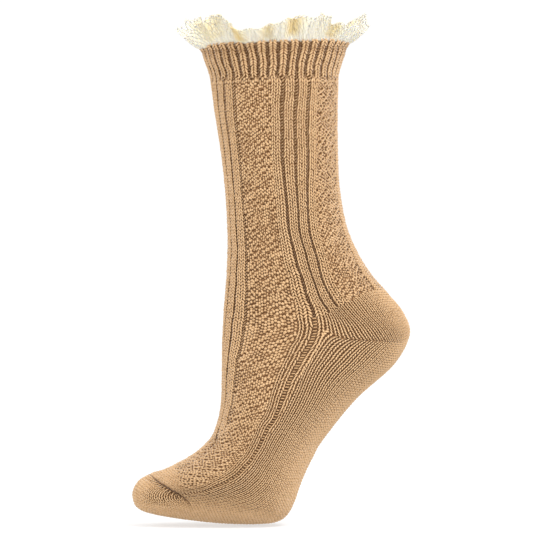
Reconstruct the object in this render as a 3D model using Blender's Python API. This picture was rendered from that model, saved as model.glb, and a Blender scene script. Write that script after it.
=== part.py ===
"""A crew sock with a lace ruffle at its cuff, filled out as on a foot on tiptoe.

Metres, +Z up. The toe points along -X and the heel along +X. The sock's tube is the
same on its +Y and -Y sides, and only its ribs turn a little round the leg, as they
do on a sock that is pulled on. The origin is the middle of the rib cuff, where the
leg holds the sock up.

The knit is one smooth tube through the cross-sections in SECTIONS. A place on it
is (station, wale): the station runs along the tube, one for each section, and the
wale counts the knitted columns round it, from 0 at the front of the leg to 42 at
its back and on to 84. The ribs are raised in the outer points alone, over a plain
inside.
"""
import math

import bpy
import numpy as np

MM = 0.001

# ---- driving dimensions, in millimetres ------------------------------------------
WALL = 2.0              # the knit, with the loops on its inside
LACE = 1.2              # the lace of the ruffle
SEAM_GAP = 0.3          # between two pieces that meet
TOE_SEAM_GAP = 0.55     # the same at the toe, where the flat faces of the slanting edges lean in
WALES = 84              # knitted columns round the sock
RIB_DEPTH = 0.9         # how deep a purl column lies between two knit ones
LADDER_DEPTH = 0.5      # the same for the purl column that runs on along the foot
CUFF_RIB_DEPTH = 1.0    # the same in the rib cuff
PANEL_DEPTH = 0.25      # how far a textured panel lies below the ribs beside it
LINING_STEP = 2         # the plain inside has one point for this many wales

# ---- the cross-sections, from the cuff's edge to the toe, in millimetres -----------
# A section is an oval in a plane that holds the Y axis. It reaches from a point on
# the front outline (x, z) to a point on the back outline (x, z), and half its depth
# to each side. The last three columns place the wales on it, in degrees: twist turns
# them all round the leg, slide moves them backwards alike on both sides, and gather
# draws those behind the side of the leg forwards again.
SECTIONS = [
    # front_x, front_z, back_x, back_z, half_depth, twist, slide, gather
    (-45.6, 9.8, 44.7, 12.8, 42.0, 18.0, 0.0, 0.0),        # 0, the cuff's edge
    (-42.4, 2.4, 42.6, 4.6, 39.5, 18.0, 0.0, 0.0),
    (-39.3, -6.1, 40.1, -4.9, 37.5, 18.0, 0.0, 0.0),
    (-38.2, -12.5, 39.5, -11.6, 36.5, 18.0, 0.0, 0.0),     # 3, the end of the rib cuff
    (-36.0, -28.4, 39.1, -27.8, 35.0, 15.5, 0.5, 0.0),
    (-32.3, -52.5, 39.2, -52.5, 33.0, 13.0, 1.0, 0.0),
    (-29.5, -76.9, 40.5, -76.9, 31.5, 12.5, 0.5, 3.0),
    (-28.2, -98.2, 44.5, -98.5, 30.5, 12.0, 0.0, 6.0),
    (-28.0, -113.5, 50.9, -114.1, 30.5, 12.0, 0.0, 8.0),   # 8, the ankle
    (-28.5, -126.9, 59.5, -128.1, 30.5, 11.0, 0.0, 10.0),
    (-29.4, -137.9, 70.1, -140.3, 31.0, 9.0, 1.0, 11.0),
    (-30.3, -148.8, 79.9, -151.3, 31.0, 7.0, 3.0, 8.0),
    (-30.9, -159.2, 83.3, -163.5, 31.0, 5.0, 4.5, 0.0),    # 12, the point of the heel
    (-31.4, -170.2, 73.2, -183.3, 31.5, 3.0, 5.5, -4.0),
    (-31.5, -180.6, 50.6, -204.7, 32.5, 1.5, 9.5, -3.0),
    (-31.6, -193.4, 30.2, -229.4, 35.0, 0.0, 15.5, 0.0),
    (-32.3, -202.5, 24.0, -239.7, 37.0, 0.0, 12.0, 0.0),
    (-33.3, -212.3, 19.2, -249.5, 39.0, 0.0, 8.0, 0.0),
    (-35.4, -221.7, 15.9, -257.7, 41.0, 0.0, 5.0, 0.0),
    (-37.8, -227.2, 12.9, -266.6, 42.5, 0.0, 1.0, 0.0),
    (-41.2, -231.1, 8.2, -275.1, 43.5, 0.0, -2.0, 0.0),
    (-44.8, -234.7, 1.2, -279.3, 43.5, 0.0, -2.0, 0.0),    # 21, the ball
    (-48.8, -237.7, -11.0, -280.4, 43.0, 0.0, 0.0, 0.0),
    (-53.4, -240.5, -26.2, -280.2, 41.5, 0.0, 5.0, 0.0),
    (-57.9, -243.1, -40.3, -279.2, 39.0, 0.0, 8.0, 0.0),
    (-67.1, -247.5, -61.6, -276.5, 34.0, 0.0, 10.0, 0.0),
    (-75.0, -249.9, -76.9, -273.4, 27.0, 0.0, 10.0, 0.0),
    (-81.4, -253.5, -83.3, -270.2, 18.0, 0.0, 10.0, 0.0),
    (-84.3, -256.7, -85.0, -266.9, 10.5, 0.0, 10.0, 0.0),  # 28, the last before the tip
]
TOE_TIP = (-86.0, -261.9)

# ---- where the pieces meet, as sections --------------------------------------------
CUFF_END = 3.0
LEG_END = 7.5           # the leg ends and the ankle begins
HEEL_LINE_SIDE = 11.4   # the leg's pattern ends here at the side of the leg
HEEL_LINE_BACK = 9.8    # and here, higher, at its back
HEEL_TURN = 13.4        # the heel ends and the arch begins
ARCH_END = 17.2         # the arch ends and the foot begins
TOE_SEAM_TOP = 26.0     # the seam that joins the instep to the toe
TOE_SEAM_SOLE = 24.1    # the same under the foot
TOE_END = 27.6

# ---- the rib pattern, in wales from the front of the leg ---------------------------
SIDE = 20               # the instep's half of the wales ends here, the sole's begins
GATHER_FROM = (18, 26)  # gather grows between these wales
GATHER_TO = (37, 42)    # and fades between these
HEEL_LINE_RISE = (16, 36)  # the heel's line climbs between these wales
TOE_SEAM_DROP = (0, 24)  # the toe's seam falls between these wales
PURL_WALES = (1, 4, 7, 18, 21, 24, 35, 38, 41)
LADDER_WALE = 18
PANELS = ((8, 16), (27, 35))
PATTERN_END = 24.5      # the section where the instep's pattern turns plain
STEP = 0.05             # of a section or wale, to measure the tube's directions by

# ---- the ruffle ---------------------------------------------------------------------
# Where its free edge swings out past the cuff's edge and how far it rises over it,
# in millimetres, at each wave's crest and hollow. The angle runs round the cuff in
# degrees: 0 at the back of the leg, 90 at the -Y side, 180 at the front.
RUFFLE_WAVES = [
    # angle, out, rise
    (8, 14.0, 14.0),
    (24, 6.0, 18.0),
    (40, 2.0, 12.5),
    (58, 13.0, 15.5),
    (76, 1.0, 14.5),
    (86, 11.0, 11.0),
    (96, 0.5, 10.5),
    (116, 15.0, 5.5),
    (138, 2.0, 19.5),
    (160, 10.0, 16.0),
    (180, 13.5, 10.0),
    (197, 3.0, 17.0),
    (214, 12.5, 15.0),
    (230, 1.0, 16.5),
    (249, 15.0, 6.5),
    (268, 0.5, 9.5),
    (283, 13.0, 11.5),
    (299, 1.0, 15.5),
    (316, 13.5, 10.0),
    (331, 2.0, 12.5),
    (347, 11.5, 10.5),
]
RUFFLE_COLUMNS = 105
RUFFLE_ROWS = 3
RUFFLE_FOOT = 1.0       # its foot stands this far inside the cuff's outer edge
RUFFLE_FLARE = 1.4      # how much later up the lace it swings out than it rises
RUFFLE_STEP = (0.5, 0.02)  # of angle and height, to measure the lace's directions by

# ---- rings along each piece ----------------------------------------------------------
RINGS = {"rib_cuff": 4, "leg": 5, "ankle": 5, "heel": 6, "arch": 5, "foot": 8, "toe": 6}

KNIT_COLOUR = (0.55, 0.34, 0.18, 1.0)
LACE_COLOUR = (0.90, 0.85, 0.74, 1.0)


# ---- the smooth tube -------------------------------------------------------------------
def catmull_rom(rows, where):
    """The rows of a table read as a smooth curve at each place in where."""
    rows = np.asarray(rows, float)
    where = np.clip(where, 0.0, len(rows) - 1.0)
    low = np.clip(where.astype(int), 0, len(rows) - 2)
    t = (where - low)[..., None]
    before, after = np.maximum(low - 1, 0), np.minimum(low + 2, len(rows) - 1)
    p0, p1, p2, p3 = rows[before], rows[low], rows[low + 1], rows[after]
    return 0.5 * (2 * p1 + (p2 - p0) * t + (2 * p0 - 5 * p1 + 4 * p2 - p3) * t ** 2
                  + (3 * p1 - p0 - 3 * p2 + p3) * t ** 3)


def mirrored(wale):
    """The wale counted from the front, 0 to 42, on either side of the leg."""
    return np.where(wale > WALES / 2, WALES - wale, wale)


def smooth_step(low, high, value):
    t = np.clip((value - low) / (high - low), 0.0, 1.0)
    return t * t * (3.0 - 2.0 * t)


def tube_point(station, wale):
    """The plain outer surface at (station, wale), in millimetres."""
    station, wale = np.broadcast_arrays(np.asarray(station, float), np.asarray(wale, float))
    row = catmull_rom(SECTIONS, station)
    front, back, half_depth = row[..., 0:2], row[..., 2:4], row[..., 4]
    twist, slide, gather = row[..., 5], row[..., 6], row[..., 7]
    angle = (wale - WALES / 4) * 360.0 / WALES  # 0 at the -Y side, -90 at the front
    side = mirrored(wale)
    behind = smooth_step(*GATHER_FROM, side) * (1.0 - smooth_step(*GATHER_TO, side))
    turn = np.cos(np.radians(angle)) * slide - np.sign(WALES / 2 - wale) * behind * gather
    angle = np.radians(angle + twist + turn)
    middle = (front + back) / 2 + (back - front) / 2 * np.sin(angle)[..., None]
    return np.stack([middle[..., 0], -half_depth * np.cos(angle), middle[..., 1]], axis=-1)


def tube_normal(station, wale):
    """The unit normal there, pointing out."""
    along = tube_point(station + STEP, wale) - tube_point(station - STEP, wale)
    after, before = (wale + STEP) % WALES, (wale - STEP) % WALES
    around = tube_point(station, after) - tube_point(station, before)
    normal = np.cross(along, around)
    return normal / np.linalg.norm(normal, axis=-1, keepdims=True)


# ---- the relief ---------------------------------------------------------------------------
def heel_top(wale):
    """The station where the pattern ends above the heel: low at the side, high at the back."""
    back = smooth_step(*HEEL_LINE_RISE, mirrored(wale))
    return HEEL_LINE_SIDE * (1.0 - back) + HEEL_LINE_BACK * back


def toe_seam(wale):
    """The station of the seam that joins the instep to the toe, slanting down each side."""
    sole = smooth_step(*TOE_SEAM_DROP, mirrored(wale))
    return TOE_SEAM_TOP * (1.0 - sole) + TOE_SEAM_SOLE * sole


def cuff_relief(station, wale):
    column = np.floor(wale).astype(int)
    return np.where(column % 2 == 1, -CUFF_RIB_DEPTH, 0.0)


def leg_relief(station, wale):
    column = np.floor(mirrored(wale)).astype(int)
    depth = np.where(np.isin(column, PURL_WALES), RIB_DEPTH, 0.0)
    for first, last in PANELS:
        depth = np.where((column >= first) & (column < last), PANEL_DEPTH, depth)
    return -depth


def foot_relief(station, wale):
    column = np.floor(mirrored(wale)).astype(int)
    depth = -leg_relief(station, wale)
    depth = np.where(column == LADDER_WALE, LADDER_DEPTH, depth)
    plain = (column >= SIDE) | (station > PATTERN_END)
    return np.where(plain, 0.0, -depth)


def no_relief(station, wale):
    return np.zeros(np.broadcast(station, wale).shape)


# ---- meshes -----------------------------------------------------------------------------------
class Shell:
    """Points and faces of one closed mesh."""

    def __init__(self):
        self.points, self.faces = [], []

    def ring(self, points):
        first = len(self.points)
        self.points += [tuple(p) for p in points]
        return list(range(first, first + len(points)))

    def band(self, a, b):
        """Quads between two rings of the same length."""
        n = len(a)
        self.faces += [(a[i], b[i], b[(i + 1) % n], a[(i + 1) % n]) for i in range(n)]

    def rim(self, outer, inner, flip):
        """The edge of a wall, between a fine outer ring and a coarser inner one."""
        step = len(outer) // len(inner)
        for i in range(len(inner)):
            here, there = inner[i], inner[(i + 1) % len(inner)]
            arc = [outer[(i * step + k) % len(outer)] for k in range(step + 1)]
            face = arc + [there, here]
            self.faces.append(tuple(reversed(face)) if flip else tuple(face))

    def cap(self, ring, tip, flip):
        """A fan from a ring to a single point."""
        n = len(ring)
        for i in range(n):
            face = (ring[i], ring[(i + 1) % n], tip)
            self.faces.append(tuple(reversed(face)) if flip else face)

    def build(self, name, material):
        mesh = bpy.data.meshes.new(name)
        mesh.from_pydata([tuple(c * MM for c in p) for p in self.points], [], self.faces)
        mesh.validate()
        mesh.shade_smooth()
        mesh.materials.append(material)
        piece = bpy.data.objects.new(name, mesh)
        bpy.context.scene.collection.objects.link(piece)
        return piece


def wall_normal(station, wale):
    """The way through the wall, level at the cuff's edge so that the edge is square."""
    normal = tube_normal(station, wale)
    normal[:, 2] *= np.clip(station, 0.0, 1.0)
    return normal / np.linalg.norm(normal, axis=-1, keepdims=True)


def outer_points(station, wale, relief):
    lift = relief(station, wale)[..., None]
    return tube_point(station, wale) + wall_normal(station, wale) * lift


def inner_points(station, wale):
    return tube_point(station, wale) - wall_normal(station, wale) * WALL


def knit_tube(name, start, end, relief, material, closed=False):
    """A stretch of the sock's wall between two edges, each a function of the wale."""
    shell = Shell()
    rings = RINGS[name]
    fine = np.arange(WALES) + 0.5
    coarse = np.arange(0, WALES, LINING_STEP) + 0.5
    outer, inner = [], []
    for k in range(rings + 1):
        t = k / rings
        station = start(fine) * (1 - t) + end(fine) * t
        outer.append(shell.ring(outer_points(station, fine, relief)))
    lining_rings = math.ceil(rings / 2)
    for k in range(lining_rings + 1):
        t = k / lining_rings
        station = start(coarse) * (1 - t) + end(coarse) * t
        inner.append(shell.ring(inner_points(station, coarse)))
    for a, b in zip(outer, outer[1:]):
        shell.band(a, b)
    for a, b in zip(inner, inner[1:]):
        shell.band(b, a)
    shell.rim(outer[0], inner[0], flip=False)
    if closed:
        tip_x, tip_z = TOE_TIP
        (outer_tip,) = shell.ring([(tip_x, 0.0, tip_z)])
        (inner_tip,) = shell.ring([(tip_x + WALL, 0.0, tip_z)])
        shell.cap(outer[-1], outer_tip, flip=True)
        shell.cap(inner[-1], inner_tip, flip=False)
    else:
        shell.rim(outer[-1], inner[-1], flip=True)
    return shell.build(name, material)


def constant(station):
    return lambda wale: np.full(np.shape(wale), float(station))


def after(edge, gap=SEAM_GAP):
    """An edge that leaves the seam's gap below another one, measured square to it."""
    def lowered(wale):
        station = edge(wale)
        along = tube_point(station + STEP, wale) - tube_point(station - STEP, wale)
        along /= 2 * STEP
        right, left = wale + STEP, wale - STEP
        rim = tube_point(edge(right), right) - tube_point(edge(left), left)
        rim /= np.linalg.norm(rim, axis=-1, keepdims=True)
        return station + gap / np.linalg.norm(np.cross(along, rim), axis=-1)

    return lowered


# ---- the ruffle -----------------------------------------------------------------------------------
def ruffle_swing(angle):
    """How far the free edge lies out and up at an angle, smooth through the waves."""
    table = np.array(RUFFLE_WAVES, float)
    at = np.concatenate([table[-1:, 0] - 360.0, table[:, 0], table[:1, 0] + 360.0])
    values = np.vstack([table[-1:, 1:], table[:, 1:], table[:1, 1:]])
    low = np.clip(np.searchsorted(at, angle, side="right") - 1, 0, len(at) - 2)
    t = (angle - at[low]) / (at[low + 1] - at[low])
    ease = (0.5 - 0.5 * np.cos(math.pi * t))[..., None]
    return values[low] * (1 - ease) + values[low + 1] * ease


def ruffle_point(angle, height):
    """The middle of the lace at an angle round the cuff, from 0 at its foot to 1."""
    front_x, front_z, back_x, back_z, half_depth = SECTIONS[0][:5]
    turn = np.radians(angle)
    reach = (back_x - front_x) / 2 - RUFFLE_FOOT
    depth = half_depth - RUFFLE_FOOT
    swing = ruffle_swing(angle)
    out = swing[..., 0] * height ** RUFFLE_FLARE
    rise = swing[..., 1] * height
    x = (back_x + front_x) / 2 + (reach + out) * np.cos(turn)
    y = -(depth + out) * np.sin(turn)
    edge = front_z + (x - front_x) / (back_x - front_x) * (back_z - front_z)
    # Past the cuff's own edge the foot's height no longer follows its slope.
    edge = np.clip(edge, front_z, back_z)
    return np.stack([x, y, edge + SEAM_GAP + rise], axis=-1)


def ruffle_normal(angle, height):
    turn, rise = RUFFLE_STEP
    height = np.maximum(height, rise)
    around = ruffle_point(angle + turn, height) - ruffle_point(angle - turn, height)
    up = ruffle_point(angle, height + rise) - ruffle_point(angle, height - rise)
    normal = np.cross(up, around)
    return normal / np.linalg.norm(normal, axis=-1, keepdims=True)


def lace_ruffle(material):
    shell = Shell()
    angle = np.arange(RUFFLE_COLUMNS) * 360.0 / RUFFLE_COLUMNS
    sides = {}
    for side in (1, -1):
        rows = []
        for k in range(RUFFLE_ROWS + 1):
            height = np.full(RUFFLE_COLUMNS, k / RUFFLE_ROWS)
            normal = ruffle_normal(angle, height)
            if k == 0:
                normal[:, 2] = 0.0  # the foot stands flat on the cuff's edge
            rows.append(shell.ring(ruffle_point(angle, height) + normal * side * LACE / 2))
        sides[side] = rows
    for a, b in zip(sides[1], sides[1][1:]):
        shell.band(a, b)
    for a, b in zip(sides[-1], sides[-1][1:]):
        shell.band(b, a)
    shell.band(sides[-1][0], sides[1][0])
    shell.band(sides[1][-1], sides[-1][-1])
    return shell.build("lace_ruffle", material)


# ---- the sock ---------------------------------------------------------------------------------------
def make_material(name, colour, roughness):
    material = bpy.data.materials.new(name)
    material.use_nodes = True
    shader = material.node_tree.nodes["Principled BSDF"]
    shader.inputs["Base Color"].default_value = colour
    shader.inputs["Roughness"].default_value = roughness
    shader.inputs["Metallic"].default_value = 0.0
    return material


def main():
    for old in list(bpy.data.objects):
        bpy.data.objects.remove(old, do_unlink=True)
    knit = make_material("knit", KNIT_COLOUR, 0.9)
    lace = make_material("lace", LACE_COLOUR, 0.9)
    cuff_end, leg_end = constant(CUFF_END), constant(LEG_END)
    heel_turn, arch_end = constant(HEEL_TURN), constant(ARCH_END)
    knit_tube("rib_cuff", constant(0.0), cuff_end, cuff_relief, knit)
    knit_tube("leg", after(cuff_end), leg_end, leg_relief, knit)
    knit_tube("ankle", after(leg_end), heel_top, leg_relief, knit)
    knit_tube("heel", after(heel_top), heel_turn, foot_relief, knit)
    knit_tube("arch", after(heel_turn), arch_end, foot_relief, knit)
    knit_tube("foot", after(arch_end), toe_seam, foot_relief, knit)
    knit_tube("toe", after(toe_seam, TOE_SEAM_GAP), constant(TOE_END), no_relief, knit, closed=True)
    lace_ruffle(lace)


main()
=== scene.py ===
"""The looks of a lace-topped rib crew sock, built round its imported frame.

Lengths are millimetres until a mesh is made, which is in metres, as the floor and the
lights are. The sock is knitted here stitch by stitch. The wale lines of each zone (cuff,
leg, instep, heel, sole and toe) are laid over the same smooth tube that the CAD's walls
follow, and each stitch is a small piece of yarn that lies across the lines beside it.
Under the stitches is one closed wall, the ground. The lace is a thin cloth over the
ruffle's waves, with a net of yarn on it.
"""
import math

import bpy
import numpy as np
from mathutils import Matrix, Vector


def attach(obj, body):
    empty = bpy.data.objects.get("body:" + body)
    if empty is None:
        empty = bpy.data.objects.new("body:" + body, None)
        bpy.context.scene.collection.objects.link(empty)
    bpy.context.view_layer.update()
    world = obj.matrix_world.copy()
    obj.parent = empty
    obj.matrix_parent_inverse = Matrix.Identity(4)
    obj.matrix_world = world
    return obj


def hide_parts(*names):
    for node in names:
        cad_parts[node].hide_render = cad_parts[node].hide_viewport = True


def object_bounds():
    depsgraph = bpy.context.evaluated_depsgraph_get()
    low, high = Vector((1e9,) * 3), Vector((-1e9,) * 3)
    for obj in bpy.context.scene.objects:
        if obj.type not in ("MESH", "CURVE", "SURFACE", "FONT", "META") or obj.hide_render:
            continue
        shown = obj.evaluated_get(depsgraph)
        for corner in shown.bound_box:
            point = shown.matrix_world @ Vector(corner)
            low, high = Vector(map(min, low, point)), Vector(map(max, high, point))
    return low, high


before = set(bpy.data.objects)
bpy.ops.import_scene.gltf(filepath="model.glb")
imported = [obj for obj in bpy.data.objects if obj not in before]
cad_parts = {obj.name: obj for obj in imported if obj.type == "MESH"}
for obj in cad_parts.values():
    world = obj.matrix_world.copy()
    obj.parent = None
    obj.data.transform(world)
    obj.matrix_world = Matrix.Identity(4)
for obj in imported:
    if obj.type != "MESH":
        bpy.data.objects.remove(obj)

cad_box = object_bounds()
MM = 0.001
chance = np.random.default_rng(7)

# ---- the photograph's frame ----
PHOTO_SIZE = 533  # pixels each way
MM_PER_PIXEL = 0.61
ORIGIN_PIXEL = (273.55, 64.0)  # where the middle of the rib cuff shows
CAMERA_AWAY = 3000.0
SENSOR = 36.0

# ---- the tube, as in the CAD ----
WALES = 84
SIDE = 20  # the instep's half of the wales ends here, the sole's begins
SECTIONS = np.array([
    # front_x, front_z, back_x, back_z, half_depth, twist, slide, gather
    (-45.1, 9.8, 46.1, 12.8, 42, 18, 0, 0),  # 0, the cuff's edge
    (-42.4, 2.4, 43.2, 4.6, 39.5, 18, 0, 0),
    (-39.3, -6.1, 40.1, -4.9, 37.5, 18, 0, 0),
    (-38.2, -12.5, 39.5, -11.6, 36.5, 18, 0, 0),  # 3, the end of the rib cuff
    (-36, -28.4, 39.1, -27.8, 35, 15.5, 0.5, 0),
    (-32.3, -52.5, 39.2, -52.5, 33, 13, 1, 0),
    (-29.5, -76.9, 40.5, -76.9, 31.5, 12.5, 0.5, 3),
    (-28.2, -98.2, 44.5, -98.5, 30.5, 12, 0, 6),
    (-28, -113.5, 50.9, -114.1, 30.5, 12, 0, 8),  # 8, the ankle
    (-28.5, -126.9, 59.5, -128.1, 30.5, 11, 0, 10),
    (-29.4, -137.9, 70.1, -140.3, 31, 9, 1, 11),
    (-30.3, -148.8, 79.2, -151.8, 31, 7, 3, 8),
    (-30.9, -159.2, 82.9, -165, 31, 5, 4.5, 0),  # 12, the point of the heel
    (-31.4, -170.2, 73.2, -183.3, 31.5, 3, 5.5, -4),
    (-31.5, -180.6, 49.9, -204.7, 32.5, 1.5, 9.5, -3),
    (-31.6, -193.4, 29.9, -229.4, 35, 0, 15.5, 0),
    (-31.8, -202.5, 24, -239.7, 37, 0, 12, 0),
    (-32.8, -212.3, 19.2, -249.5, 39, 0, 8, 0),
    (-35.4, -221.7, 15.9, -257.7, 41, 0, 5, 0),
    (-37.8, -227.2, 12.9, -266.6, 42.5, 0, 1, 0),
    (-41.2, -231.1, 8.2, -275.1, 43.5, 0, -2, 0),
    (-44.8, -234.7, 1.2, -279.3, 43.5, 0, -2, 0),  # 21, the ball
    (-48.8, -237.7, -11, -280.4, 43, 0, 0, 0),
    (-53.4, -240.5, -26.2, -280.2, 41.5, 0, 5, 0),
    (-57.9, -243.1, -40.3, -279.2, 39, 0, 8, 0),
    (-67.1, -247.5, -61.6, -276.5, 34, 0, 10, 0),
    (-75, -249.9, -76.9, -273.4, 27, 0, 10, 0),
    (-81.4, -253.5, -83.3, -270.2, 18, 0, 10, 0),
    (-84.3, -256.7, -85, -266.9, 10.5, 0, 10, 0),  # 28, the last before the tip
])
TOE_TIP = np.array([-86.0, 0.0, -261.9])
CUFF_END = 3.0
CUFF_LAP = 0.1  # the leg's first course starts a little above it
HEEL_LINE_SIDE, HEEL_LINE_BACK, HEEL_LINE_RISE = 11.4, 9.8, (16, 36)
TOE_SEAM_TOP, TOE_SEAM_SOLE, TOE_SEAM_DROP = 26.05, 24.25, (0, 24)
TOE_CAP = 27.6  # past this section the toe closes in a low dome
TOE_CAP_FROM = 21.0  # the toe narrows steadily from this section on
CUFF_ROLL = 0.45  # the cuff's edge rolls inwards over this much of a section
CUFF_ROLL_RADIUS = 1.3
GATHER_FROM, GATHER_TO = (18, 26), (37, 42)

# ---- the heel's mitre ----
# Upper and lower heel meet along this line, where each wale turns back in a chevron.
# It starts a little higher beside the ladder and ends at the point of the heel.
MITRE_STATION, MITRE_START_RISE, MITRE_START_WALES = 12.3, 0.42, 0.8
MITRE_TIP_STATION, MITRE_TIP_WALES = 12.05, (12, 22)
MITRE_SWING = 2.7  # wales that the middle of each side swings back at the mitre
SWING_RUSH = 5  # most of it just above the mitre
# Below the mitre a wale dips forward of its own place, and then finds it again.
DIP_START, DIP_SLOPE, DIP_FADE = 0.6, 0.14, (9, 20)
DIP_SPEED, DIP_SPEED_RANGE = 0.085, (0.16, 0.75)
DIP_END = (0.9, 2.3)  # sections below the mitre
MITRE_SINK, MITRE_WIDTH, MITRE_FADE = 1.4, 0.85, (6, 10)

# ---- the stitches ----
COURSE = 1.87  # from one course to the next
CUFF_ROWS, LEG_ROWS, INSTEP_ROWS, LADDER_ROWS = 16, 77, 72, 80
TOE_WALES = 42
PURL_WALES = (1, 4, 7, 18, 21, 24, 35, 38, 41)
SOFT_WALES, SOFT_SHARE = (7, 35), 0.5  # the valleys beside the panels are flatter
LADDER_WALE = 18
PANELS = ((8, 16), (27, 35))
PATTERN_END = 24.5  # the section where the instep's pattern turns plain
PATTERN_FADE = 3.0  # over so many sections
PATTERN_GONE = 0.02  # the pattern's share below which a stitch is plain
LADDER_LATE = 1.0  # the ladder runs on by so many sections
RIB_DEPTH, RIB_DEEPENS = (0.75, 1.25), (4.0, 7.0)  # at the top and lower down the leg
CUFF_RIB_DEPTH, LADDER_DEPTH, PANEL_DEPTH = 1.0, 0.6, 0.1
NUB_RISE, NUB_DIP = 0.12, 0.05  # a panel's purl nubs stand up, its knit cells lie low
# Over the instep the panel takes in the columns beside it, one after the other.
SPREAD_FROM, SPREAD_STEP, SPREAD_BLEND, SPREAD_COLUMNS = 16.4, 0.35, 1.3, 5
# Each rib of the cuff ends in a knob at the edge, with a dip below it.
KNOB_RISE, KNOB_ROW, KNOB_REACH = 0.45, 0.8, 1.2
COLLAR_DIP, COLLAR_ROW, COLLAR_REACH = 0.35, 3.2, 1.2
RIB_DRAW, TOP_DRAW, CUFF_DRAW, LADDER_DRAW = 0.25, 0.08, 0.26, 0.2  # how far purl edges move, in wales
LEG_BLEND = (0.1, 0.55)  # the share of the leg over which its valleys grow narrow
CUFF_BLEND = (0.8, 1.0)  # the share of the cuff over which its rib turns into the leg's
# How strongly painted shade darkens the yarn's sides in each part, and the stations where the heel's
# stronger painted shade grows and fades.
CUFF_CONTRAST, RIB_CONTRAST, PANEL_CONTRAST = 0.6, 0.9, 0.8
TOE_CONTRAST, SOLE_CONTRAST, HEEL_CONTRAST = 0.9, 1.4, 3.2
HEEL_CONTRAST_START, HEEL_CONTRAST_END = (11.8, 13.0), (15.0, 18.0)
YARN_SINK = 0.12  # so that the yarn's crests lie on the tube
GROUND_DEPTH = 1.0
PANEL_GROUND = 0.4  # and under the panels it stands this much higher
GROUND_RELIEF = 0.7  # the ground follows this much of the rib's depth
INNER_DEPTH = 2.4
LINE_SAMPLES = 180

# ---- unevenness ----
SWAY = 0.4  # degrees that the wale lines waver
SWAY_WAVES = ((1.0, 2.3, 3), (0.7, 4.1, -5))  # share, waves a section, waves round
PLAIN_UNEVEN, PANEL_UNEVEN = 0.5, 2.0  # times that of the ribs' stitches
# The toe's seam is a sunk line: the instep bulges over it and the toe is drawn in pleats.
SEAM_SINK, SEAM_WIDTH = 1.1, 0.9
BULGE_RISE, BULGE_FROM, BULGE_WIDTH = 0.7, 3.0, 2.0
PLEAT_SINK, PLEAT_REACH, PLEAT_SHARP = 3.0, 2.8, 3
SEAM_END_SHARE, SEAM_END = 0.45, (14, 21)  # and finer towards its ends
SEAM_TOP_SHARE, SEAM_TOP = 0.25, (3, 12)  # it is flatter over the top of the foot
SEAM_REACH, SEAM_FADE = 27, (22, 26)  # wales from the top, where it ends at the side
# A crease across the instep, the same on both sides.
CREASE = np.array([
    # station, wale, depth
    (18.2, 4.4, 0.0), (18.6, 4.8, 1.9), (19.4, 6.0, 1.7), (20.2, 6.5, 0.6),
    (21.3, 6.4, 0.3), (22.5, 6.3, 0.3), (23.8, 6.0, 0.0),
])
CREASE_WIDTH = 0.9


# ---- the smooth tube ----
def mix(a, b, share):
    return a * (1 - share) + b * share


def bell(distance, width):
    return np.exp(-(distance / width) ** 2)


def stacked(*parts):
    return np.stack(parts, axis=-1)


def smooth_step(low, high, value):
    t = np.clip((value - low) / (high - low), 0.0, 1.0)
    return t * t * (3.0 - 2.0 * t)


def catmull_rom(rows, where):
    """The rows of a table read as a smooth curve at each place in where."""
    where = np.clip(where, 0.0, len(rows) - 1.0)
    low = np.clip(where.astype(int), 0, len(rows) - 2)
    t = (where - low)[..., None]
    before, after = np.maximum(low - 1, 0), np.minimum(low + 2, len(rows) - 1)
    p0, p1, p2, p3 = rows[before], rows[low], rows[low + 1], rows[after]
    return 0.5 * (2 * p1 + (p2 - p0) * t + (2 * p0 - 5 * p1 + 4 * p2 - p3) * t ** 2
                  + (3 * p1 - p0 - 3 * p2 + p3) * t ** 3)


def mirrored(wale):
    """The wale counted from the front, 0 to 42, on either side of the leg."""
    wale = np.mod(wale, WALES)
    return np.where(wale > WALES / 2, WALES - wale, wale)


def section_angle(station, wale):
    """Degrees round the section: -90 at the front, 0 at the -Y side, 90 at the back."""
    row = catmull_rom(SECTIONS, station)
    twist, slide, gather = row[..., 5], row[..., 6], row[..., 7]
    wale = np.mod(wale, WALES)
    angle = (wale - WALES / 4) * 360.0 / WALES
    side = mirrored(wale)
    behind = smooth_step(*GATHER_FROM, side) * (1.0 - smooth_step(*GATHER_TO, side))
    turn = np.cos(np.radians(angle)) * slide - np.sign(WALES / 2 - wale) * behind * gather
    radians = np.radians(angle)
    sway = SWAY * sum(share * np.sin(along * station + around * radians)
                      for share, along, around in SWAY_WAVES)
    return angle + twist + turn + sway


def on_section(station, degrees):
    """A place on the plain tube, without the roll at the cuff's edge."""
    row = catmull_rom(SECTIONS, station)
    front, back, half_depth = row[..., 0:2], row[..., 2:4], row[..., 4]
    angle = np.radians(degrees)
    middle = (front + back) / 2 + (back - front) / 2 * np.sin(angle)[..., None]
    return stacked(middle[..., 0], -half_depth * np.cos(angle), middle[..., 1])


def tube(station, degrees):
    """The sock's outer surface. Before section 0 it rolls in over the cuff's edge."""
    station, degrees = np.broadcast_arrays(station, degrees)
    point = on_section(station, degrees)
    roll = np.clip(-station / CUFF_ROLL, 0.0, 1.0) * math.pi / 2
    radians = np.radians(degrees)
    outward = stacked(np.sin(radians), -np.cos(radians), 0 * radians)
    inset = CUFF_ROLL_RADIUS * (1 - np.cos(roll))[..., None] * outward
    rise = CUFF_ROLL_RADIUS * np.sin(roll)
    return point - inset + stacked(0 * rise, 0 * rise, rise)


TOE_TABLE = np.linspace(TOE_CAP_FROM, TOE_CAP, 200)
TOE_HALF_DEPTH = catmull_rom(SECTIONS, TOE_TABLE)[:, 4]


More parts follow.
